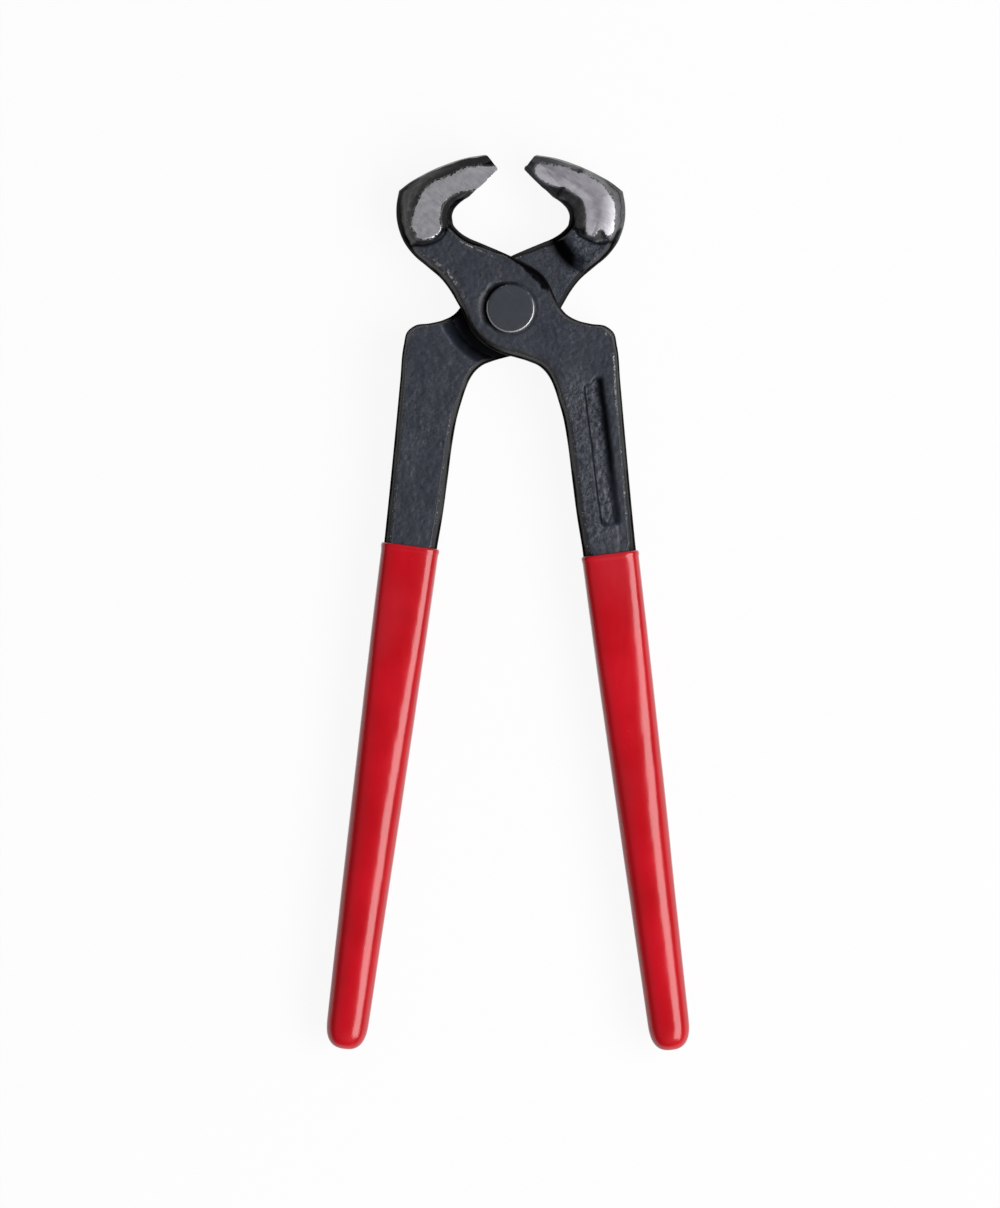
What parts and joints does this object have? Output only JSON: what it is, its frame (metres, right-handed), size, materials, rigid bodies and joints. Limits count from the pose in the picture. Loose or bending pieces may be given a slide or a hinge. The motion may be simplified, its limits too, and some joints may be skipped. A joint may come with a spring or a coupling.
{
  "type": "end cutting nippers",
  "caption": "Carpenter's pincers: two forged levers lapped on a rivet, hooked jaws ground to end-cutting edges, long tapering handles in dipped plastic grips.",
  "frame": {"origin": "on the pivot axis, in the plane of the jaws' lower ground sides, which is the bench that the tool lies on", "axes": "+Z along the pivot axis from the bench to the front of the tool, +Y from the pivot towards the cutting edges midway between the jaws, +X to the right with the jaws up and the front seen"},
  "size_m": [0.091, 0.2238, 0.019],
  "materials": {
    "forged_steel": "dark oxidised drop-forged steel, bright where the jaws are ground",
    "rivet_steel": "dark turned steel with a worn bright rim",
    "dipped_plastic": "glossy red dipped vinyl"
  },
  "bodies": {
    "back_half": {"back_lever": "forged_steel", "pivot_rivet": "rivet_steel", "back_grip": "dipped_plastic"},
    "front_half": {"front_lever": "forged_steel", "front_grip": "dipped_plastic"}
  },
  "joints": [
    {"name": "jaw_pivot", "type": "hinge", "parent": "back_half", "child": "front_half", "pos_m": [0, 0, 0.0095], "axis": [0, 0, 1], "range_deg": [-10.7, 20]}
  ]
}
